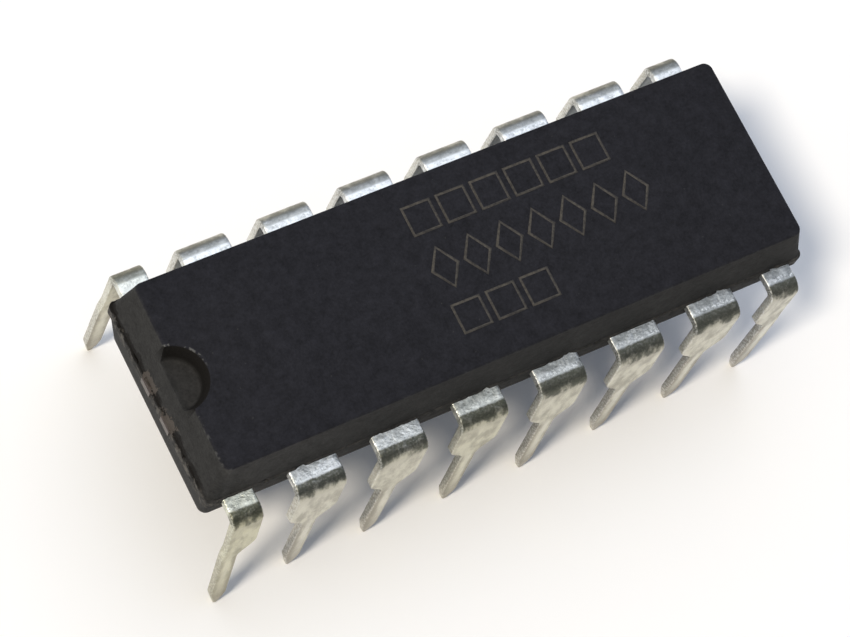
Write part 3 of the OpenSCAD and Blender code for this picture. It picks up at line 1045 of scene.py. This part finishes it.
@dataclass
class LeadFrame:
    """The sixteen leads, stamped flat and then formed by one node tree over the same bend.

    A flat lead has x across it, y from the bend's start to the tip and z through the metal. Its place in its row is k,
    from 1, and its rank is its place from the row's middle, from 0.
    """

    side_leads: int = 8
    pitch: float = 2.54
    thickness: float = 0.25
    width: float = 0.48
    shoulder: float = 1.48
    corner_trim: float = 0.18
    bend_radius: float = 0.37
    row_width: float = 7.9
    splay: float = 2.0
    height: float = 6.1
    shoulder_drop: float = 1.8
    shoulder_taper: float = 0.85
    tip_width: float = 0.14
    tip_taper: float = 0.75
    tip_edge: float = 0.03
    coined: tuple[float, float] = (0.72, 0.28)
    coin_rate: float = 1.6
    body_width: float = 6.3
    embed: float = 0.55
    finger_width: float = 0.4
    finger_start: float = 0.004
    gap: float = 0.2
    tip_gap: float = 0.3
    paddle_length: float = 5.2
    paddle_width: float = 2.7
    middle_tips: tuple[float, float] = (0.75, 2.1)
    tie_width: float = 0.5
    tie_pitch: float = 1.2
    lanes: int = 3
    rollover: float = 0.045
    rollover_angles: tuple[int, ...] = (30, 60, 90)
    rollover_limit: float = 0.4
    burr: float = 0.018
    burr_limit: float = 0.2
    burr_slope: float = 0.3
    cut_middle: float = 0.35
    step: float = 0.075
    top_points: int = 16
    ripple: float = 0.007
    ripple_scale: float = 4.2
    ripple_detail: float = 3.0
    seed_step: float = 3.7
    sharp_angle: float = 50.0
    finish: Finish = TinFinish("tin_plating")

    @property
    def bend_y(self) -> float:
        """Distance of the bend's axis from the middle plane."""
        return self.row_width / 2 - self.bend_radius

    @property
    def bend_z(self) -> float:
        """Height of the bend's axis."""
        return self.height - self.bend_radius

    @property
    def middle_radius(self) -> float:
        """Radius of the middle of the metal in the bend."""
        return self.bend_radius - self.thickness / 2

    @property
    def arc(self) -> float:
        """Length of the middle of the metal over the bend."""
        return self.middle_radius * math.radians(90 - self.splay)

    @property
    def root_y(self) -> float:
        """Distance of the shoulders' inner ends from the middle plane."""
        return self.body_width / 2 - self.embed

    @property
    def leg_length(self) -> float:
        """Length of the straight leg from the bend's axis to the floor."""
        splay = math.radians(self.splay)
        return (self.bend_z + self.bend_radius * math.sin(splay)) / math.cos(splay)

    @property
    def tie_edge(self) -> float:
        """Distance of the tie bars' outer edges from the middle plane."""
        return (self.tie_pitch + self.tie_width) / 2

    @property
    def lane_step(self) -> float:
        """Pitch of the lanes that the fingers run in."""
        return (self.root_y - self.tie_edge - self.gap) / self.lanes

    @property
    def lane_width(self) -> float:
        """Width of a finger in its lane."""
        return self.lane_step - self.gap

    def build(self) -> None:
        """Builds, forms and rides the sixteen leads."""
        forming = self.forming_tree()
        for row, hands in HANDS.items():
            for k, hand in enumerate(hands, start=1):
                number = k if row is Row.NEAR else k + self.side_leads
                lead = linked(f"tinned_lead_{number:02d}", self.blank(k, hand))
                forming.shape(lead, {
                    "Middle radius": self.middle_radius * MM, "Bend distance": self.bend_y * MM,
                    "Bend height": self.bend_z * MM, "Splay": math.radians(self.splay + hand.splay),
                    "Lean": math.radians(hand.lean), "Place": self.lead_x(k) * MM, "Turn": math.radians(row.value),
                    "Ripple": 2 * self.ripple * MM, "Seed": self.seed_step * number,
                    "Finish": self.finish.material(),
                })
                lead.data.flip_normals()
                shade_smooth(lead.data, self.sharp_angle)
                mount(lead, Slot.LEAD, f"lead_{number:02d}")

    def lead_x(self, k: int) -> float:
        """Returns the place of a lead along its row."""
        return (k - (self.side_leads + 1) / 2) * self.pitch

    def rank(self, k: int) -> int:
        """Returns the rank of a lead."""
        return round(abs(k - (self.side_leads + 1) / 2) - 0.5)

    def half_widths(self, k: int) -> tuple[float, float]:
        """Returns how far a lead's shoulder runs to the left and right of its middle."""
        half = self.shoulder / 2
        return (self.corner_trim if k == 1 else half), (self.corner_trim if k == self.side_leads else half)

    def leg_stations(self, k: int) -> list[Station]:
        """Returns the stations of a lead from its tip to the inner end of its shoulder."""
        straight = self.leg_length
        end, inner = self.arc + straight, self.root_y - self.bend_y
        count = round((end - inner) / self.step)
        marks = {end - i * (end - inner) / count for i in range(count + 1)}
        marks |= {end - self.tip_edge, end - self.tip_taper}
        narrow, found = self.width / 2, []
        for s in sorted(marks, reverse=True):
            down = s - self.arc
            slim = self.slimming(down)
            point = min(1.0, max(0.0, (straight - down) / self.tip_taper))
            taper = self.tip_width / self.width + (1 - self.tip_width / self.width) * point
            coined = self.coined[0] + self.coined[1] * min(1.0, point * self.coin_rate)
            halves = [(narrow + (half - narrow) * slim) * taper for half in self.half_widths(k)]
            found.append(Station(Vector((0, s)), Vector((1, 0)), *halves, self.thickness / 2 * coined))
        return found

    def slimming(self, down: float) -> float:
        """Returns the share of the shoulder's extra width that is left at a distance down the leg."""
        start = self.shoulder_drop - self.bend_radius
        t = min(1.0, max(0.0, (down - start) / self.shoulder_taper))
        return (1 + math.cos(math.pi * t)) / 2

    def finger_path(self, k: int) -> list[Vector]:
        """Returns the middle line of a lead's finger in the flat lead's own plane."""
        x, rank = self.lead_x(k), self.rank(k)
        side = 1 if x > 0 else -1
        lane_y = [self.tie_edge + n * self.lane_step - self.lane_width / 2 for n in range(self.lanes + 1)]
        if rank < len(self.middle_tips):
            tip_x = self.middle_tips[rank]
            ends = [(tip_x, lane_y[self.lanes]), (tip_x, self.paddle_width / 2 + self.tip_gap)]
        else:
            run = lane_y[self.side_leads // 2 - rank]
            ends = [(abs(x), run), (self.paddle_length / 2 + self.tip_gap, run)]
        return [Vector((side * px - x, py - self.bend_y)) for px, py in [(abs(x), self.root_y), *ends]]

    def finger_stations(self, k: int) -> list[Station]:
        """Returns the stations of a lead's finger, mitred at its corners."""
        path = self.finger_path(k)
        lane = self.lane_width / 2
        tip = self.finger_width / 2 if self.rank(k) < len(self.middle_tips) else lane
        path[0] = path[0] + Vector((0, -self.finger_start))
        found = []
        for i, here in enumerate(path):
            before = (path[max(i, 1)] - path[max(i, 1) - 1]).normalized()
            after = (path[min(i, 1) + 1] - path[min(i, 1)]).normalized()
            turned = [Vector((-d.y, d.x)) for d in (before, after)]
            middle = (turned[0] + turned[1]).normalized()
            across = middle / middle.dot(turned[0]) if i else Vector((1, 0))
            half = tip if i == 2 else lane
            found.append(Station(here, across, half, half, self.thickness / 2))
        return found

    def section(self, station: Station) -> list[tuple[float, float, float]]:
        """Returns one closed cross-section: place across, height over the middle, and 1 on the cut sides."""
        left, right, half = station.left, station.right, station.half_thickness
        roll = min(self.rollover, self.rollover_limit * (left + right))
        burr = min(self.burr, self.burr_limit * (left + right))

        def side(reach: float) -> list[tuple[float, float, float]]:
            """Returns the points of a side at this reach: rolled over at the top and burred at the bottom."""
            turns = [math.radians(angle) for angle in self.rollover_angles]
            rolled = [(reach - roll * (1 - math.sin(a)), half - roll * (1 - math.cos(a)), math.sin(a)) for a in turns]
            return [*rolled, (reach, -half * self.cut_middle, 1.0), (reach, burr - half, 1.0),
                    (reach - burr * self.burr_slope, self.burr_slope * burr - half, 0.5)]

        last, numbers = self.top_points - 1, range(self.top_points)
        top = [(-left + roll + (left + right - 2 * roll) * i / last, half, 0.0) for i in numbers]
        low = [(right - burr - (left + right - 2 * burr) * i / last, -half, 0.0) for i in numbers]
        return [*top, *side(right), *low, *((-u, n, cut) for u, n, cut in reversed(side(left)))]

    def blank(self, k: int, hand: Hand) -> bpy.types.Mesh:
        """Returns a lead as it is stamped, flat, with the readings that its finish needs."""
        stations = self.leg_stations(k) + self.finger_stations(k)
        points: list[Vector] = []
        along: list[float] = []
        cut: list[float] = []
        for station in stations:
            for u, n, side in self.section(station):
                flat = station.middle + station.across * u
                points.append(Vector((flat.x, flat.y, n)) * MM)
                along.append(flat.y)
                cut.append(side)
        count = len(points) // len(stations)
        tip, root = tuple(range(count)), tuple(reversed(range(len(points) - count, len(points))))
        mesh = bpy.data.meshes.new(f"tinned_lead_{k:02d}")
        mesh.from_pydata(points, [], [tip, *side_faces(count, len(stations)), root])
        worn = ([getattr(hand, name)] * len(points) for name in HAND_READINGS)
        for name, values in zip(READINGS, (along, cut, *worn)):
            mesh.attributes.new(name, "FLOAT", "POINT").data.foreach_set("value", values)
        craft = bmesh.new()
        craft.from_mesh(mesh)
        bmesh.ops.recalc_face_normals(craft, faces=craft.faces)
        craft.to_mesh(mesh)
        craft.free()
        return mesh

    def forming_tree(self) -> ShapeSheet:
        """Returns the node tree that bends a flat lead, sets it in its place, ripples it and gives it its finish."""
        numbers = ("Middle radius", "Bend distance", "Bend height", "Splay", "Lean", "Place", "Turn", "Ripple", "Seed")
        kinds = {"Blank": "Geometry"} | dict.fromkeys(numbers, "Float") | {"Finish": "Material"}
        sheet = ShapeSheet("lead_forming", "Lead", kinds)
        given = sheet.given
        x, s, n = sheet.split(sheet.add("GeometryNodeInputPosition").outputs[0])
        radius = given["Middle radius"]
        full = sheet.minus(math.pi / 2, given["Splay"])
        angle = sheet.least(sheet.most(sheet.math("DIVIDE", s, radius), 0.0), full)
        beyond = sheet.most(sheet.minus(s, sheet.times(radius, full)), 0.0)
        run = sheet.plus(beyond, sheet.least(s, 0.0))
        sine, cosine, lean = (sheet.math(kind, turn) for kind, turn in (
            ("SINE", angle), ("COSINE", angle), ("TANGENT", given["Lean"])))
        out = sheet.plus(radius, n)
        place = sheet.join(
            sheet.plus(sheet.minus(x, sheet.times(beyond, lean)), given["Place"]),
            sheet.times(-1.0, sheet.plus(sheet.times(out, sine), sheet.times(run, cosine), given["Bend distance"])),
            sheet.plus(given["Bend height"], sheet.minus(sheet.times(out, cosine), sheet.times(run, sine))))
        bent = sheet.run("GeometryNodeSetPosition", {"Geometry": given["Blank"], "Position": place})
        wave = {"W": given["Seed"], "Scale": self.ripple_scale / MM, "Detail": self.ripple_detail}
        waves = sheet.run("ShaderNodeTexNoise", wave, noise_dimensions="4D")
        lift = sheet.times(sheet.minus(waves, 0.5), given["Ripple"])
        push = sheet.scale(sheet.add("GeometryNodeInputNormal").outputs[0], lift)
        rippled = sheet.run("GeometryNodeSetPosition", {"Geometry": bent, "Offset": push})
        turn = sheet.join(0.0, 0.0, given["Turn"])
        sheet.close(sheet.run("GeometryNodeTransform", {"Geometry": rippled, "Rotation": turn}))
        return sheet


class Outline(Enum):
    """The plain four-cornered outlines of the etched marks: the turn of each."""

    LOZENGE = 0.0
    SQUARE = 45.0


@dataclass(frozen=True)
class MarkRow:
    """One row of equal etched outlines."""

    outline: Outline
    count: int
    start: tuple[float, float]
    pitch: float
    size: tuple[float, float]


@dataclass
class EtchedMarks:
    """Three rows of plain etched outlines on the top face, with no meaning."""

    top: float = 7.755
    proud: float = 0.004
    stroke: float = 0.10
    corners: int = 4
    rows: tuple[MarkRow, ...] = (
        MarkRow(Outline.SQUARE, 6, (-0.90, 1.66), 1.08, (0.60, 0.60)),
        MarkRow(Outline.LOZENGE, 7, (-0.95, 0.10), 1.02, (0.40, 0.62)),
        MarkRow(Outline.SQUARE, 3, (-0.90, -1.42), 1.08, (0.60, 0.60)),
    )
    finish: Finish = EtchFinish("laser_etch")

    def build(self) -> None:
        """Builds and rides one piece for each row."""
        etching = self.row_tree()
        for number, row in enumerate(self.rows, start=1):
            piece = linked(f"etched_row_{number}", bpy.data.meshes.new(f"etched_row_{number}"))
            etching.shape(piece, {
                "Count": row.count, "Corners": self.corners, "Upright": math.radians(row.outline.value),
                "Pitch": row.pitch * MM, "Start": (row.start[0] * MM, row.start[1] * MM, self.top * MM),
                "Size": (row.size[0] * MM, row.size[1] * MM, 1.0), "Stroke": self.stroke * MM,
                "Proud": self.proud * MM, "Finish": self.finish.material(),
            })
            mount(piece, Slot.MOULDING)

    def row_tree(self) -> ShapeSheet:
        """Returns the node tree that repeats one outline along a row and sweeps its stroke."""
        sheet = ShapeSheet("etched_row", "Row", {
            "Count": "Int", "Corners": "Int", "Upright": "Float", "Pitch": "Float", "Start": "Vector",
            "Size": "Vector", "Stroke": "Float", "Proud": "Float", "Finish": "Material",
        })
        given = sheet.given
        offset, turn = sheet.join(given["Pitch"], 0.0, 0.0), sheet.join(0.0, 0.0, given["Upright"])
        line = sheet.run("GeometryNodeMeshLine", {
            "Count": given["Count"], "Start Location": given["Start"], "Offset": offset})
        loop = sheet.run("GeometryNodeCurvePrimitiveCircle", {"Resolution": given["Corners"], "Radius": 1.0})
        upright = sheet.run("GeometryNodeTransform", {"Geometry": loop, "Rotation": turn})
        sized = sheet.run("GeometryNodeTransform", {"Geometry": upright, "Scale": given["Size"]})
        row = sheet.run("GeometryNodeInstanceOnPoints", {"Points": line, "Instance": sized})
        loose = sheet.run("GeometryNodeRealizeInstances", {"Geometry": row})
        nib = sheet.run("GeometryNodeCurvePrimitiveQuadrilateral", {
            "Width": given["Stroke"], "Height": sheet.times(given["Proud"], 2.0)})
        sheet.close(sheet.run("GeometryNodeCurveToMesh", {"Curve": loose, "Profile Curve": nib, "Fill Caps": True}))
        return sheet


@dataclass
class InnerParts:
    """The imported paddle, adhesive, die and bond wires, which keep their solids and get their finishes."""

    copper: Finish = CopperFinish("copper_alloy")
    adhesive: Finish = AdhesiveFinish("silver_epoxy")
    silicon: Finish = SiliconFinish("silicon_die_finish")
    gold: Finish = GoldFinish("gold_wire_finish")
    wires: int = 16

    def dress(self) -> None:
        """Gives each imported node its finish."""
        finishes = {"die_paddle": self.copper, "die_attach": self.adhesive, "silicon_die": self.silicon}
        finishes |= {f"bond_wire_{n:02d}": self.gold for n in range(1, self.wires + 1)}
        for name, finish in finishes.items():
            finish.dress(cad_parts[name].data)
            LOG.info("%s keeps its solid, finish %s", name, finish.name)


@dataclass
class Studio:
    """A pale floor, one soft key light, a dome of softer light and the camera.

    The dome's steps are on a direction's x, on its y, on how far it points overhead and on its z.
    """

    floor_half: float = 600.0
    floor_z: float = -0.010
    paper: Finish = FloorFinish("pale_paper")
    key_direction: tuple[float, float, float] = (0.62, 0.13, -1.0)
    key_strength: float = 2.08
    key_colour: Colour = (1.0, 0.91, 0.77)
    key_angle: float = 10.0
    overhead: tuple[float, float, float] = (0.15, 0.27, 0.95)
    panel: Colour = (1.43, 1.51, 1.66)
    left_side: Colour = (0.53, 0.55, 0.57)
    right_side: Colour = (0.22, 0.27, 0.39)
    near_shade: float = 0.42
    backdrop: Colour = (0.955, 0.95, 0.94)
    side_step: Step = (-0.7, 0.7)
    near_step: Step = (-0.75, 0.3)
    panel_step: Step = (0.82, 0.96)
    backdrop_step: Step = (0.22, 0.12)
    camera_place: tuple[float, float, float] = (-33.2912, -23.0460, 90.5148)
    camera_right: tuple[float, float, float] = (0.870438, -0.445836, 0.208731)
    camera_forward: tuple[float, float, float] = (0.341531, 0.241550, -0.908301)
    lens: float = 142.345
    sensor: float = 36.0
    clip: tuple[float, float] = (1.0, 10000.0)

    def build(self) -> None:
        """Builds the floor, the lights and the camera."""
        self.floor()
        self.key()
        self.dome()
        self.camera()
        bpy.context.scene.view_settings.view_transform = "Standard"

    def floor(self) -> None:
        """Lays the floor a hair below the plane of the lead tips."""
        h = self.floor_half
        corners = [Vector((x, y, self.floor_z)) * MM for x, y in ((-h, -h), (h, -h), (h, h), (-h, h))]
        mesh = bpy.data.meshes.new("floor")
        mesh.from_pydata(corners, [], [(0, 1, 2, 3)])
        self.paper.dress(mesh)
        linked("floor", mesh)

    def key(self) -> None:
        """Sets the key light."""
        data = bpy.data.lights.new("key", "SUN")
        data.energy, data.angle, data.color = self.key_strength, math.radians(self.key_angle), self.key_colour
        lamp = linked("key", data)
        lamp.rotation_mode = "QUATERNION"
        lamp.rotation_quaternion = Vector(self.key_direction).to_track_quat("-Z", "Y")

    def dome(self) -> None:
        """Lights the scene from all round, with a soft panel overhead and a pale backdrop behind the floor's end."""
        world = bpy.data.worlds.new("dome")
        world.use_nodes = True
        bpy.context.scene.world = world
        sheet = NodeSheet(world.node_tree)
        direction = sheet.add("ShaderNodeTexCoord").outputs["Generated"]
        x, y, z = sheet.split(direction)
        toward = sheet.run("ShaderNodeVectorMath", {0: direction, 1: self.overhead}, "Value", operation="DOT_PRODUCT")
        horizon = sheet.blend(sheet.step(x, self.side_step), self.left_side, self.right_side)
        horizon = sheet.scale(horizon, sheet.span(sheet.step(y, self.near_step), (self.near_shade, 1.0)))
        light = sheet.blend(sheet.step(toward, self.panel_step), horizon, self.panel)
        ray = sheet.add("ShaderNodeLightPath").outputs
        seen = sheet.most(*(ray[f"Is {kind} Ray"] for kind in ("Camera", "Glossy", "Transmission")))
        share = sheet.times(seen, sheet.step(z, self.backdrop_step))
        shown = sheet.blend(share, light, self.backdrop)
        sheet.feed(world.node_tree.nodes["Background"], {"Color": shown})

    def camera(self) -> None:
        """Sets the camera at the photograph's viewing angle."""
        data = bpy.data.cameras.new("camera")
        data.lens, data.sensor_width = self.lens, self.sensor
        data.clip_start, data.clip_end = (distance * MM for distance in self.clip)
        forward = Vector(self.camera_forward).normalized()
        right = Vector(self.camera_right)
        right = (right - forward * forward.dot(right)).normalized()
        turn = Matrix((right, right.cross(forward), -forward)).transposed()
        camera = linked("camera", data)
        camera.matrix_world = Matrix.Translation(Vector(self.camera_place) * MM) @ turn.to_4x4()
        bpy.context.scene.camera = camera


def main() -> None:
    """Builds the studio and every piece in order."""
    logging.basicConfig(level=logging.INFO, format="%(name)s %(message)s")
    Studio().build()
    MouldedBody().build()
    LeadFrame().build()
    EtchedMarks().build()
    InnerParts().dress()


if __name__ == "__main__":
    main()
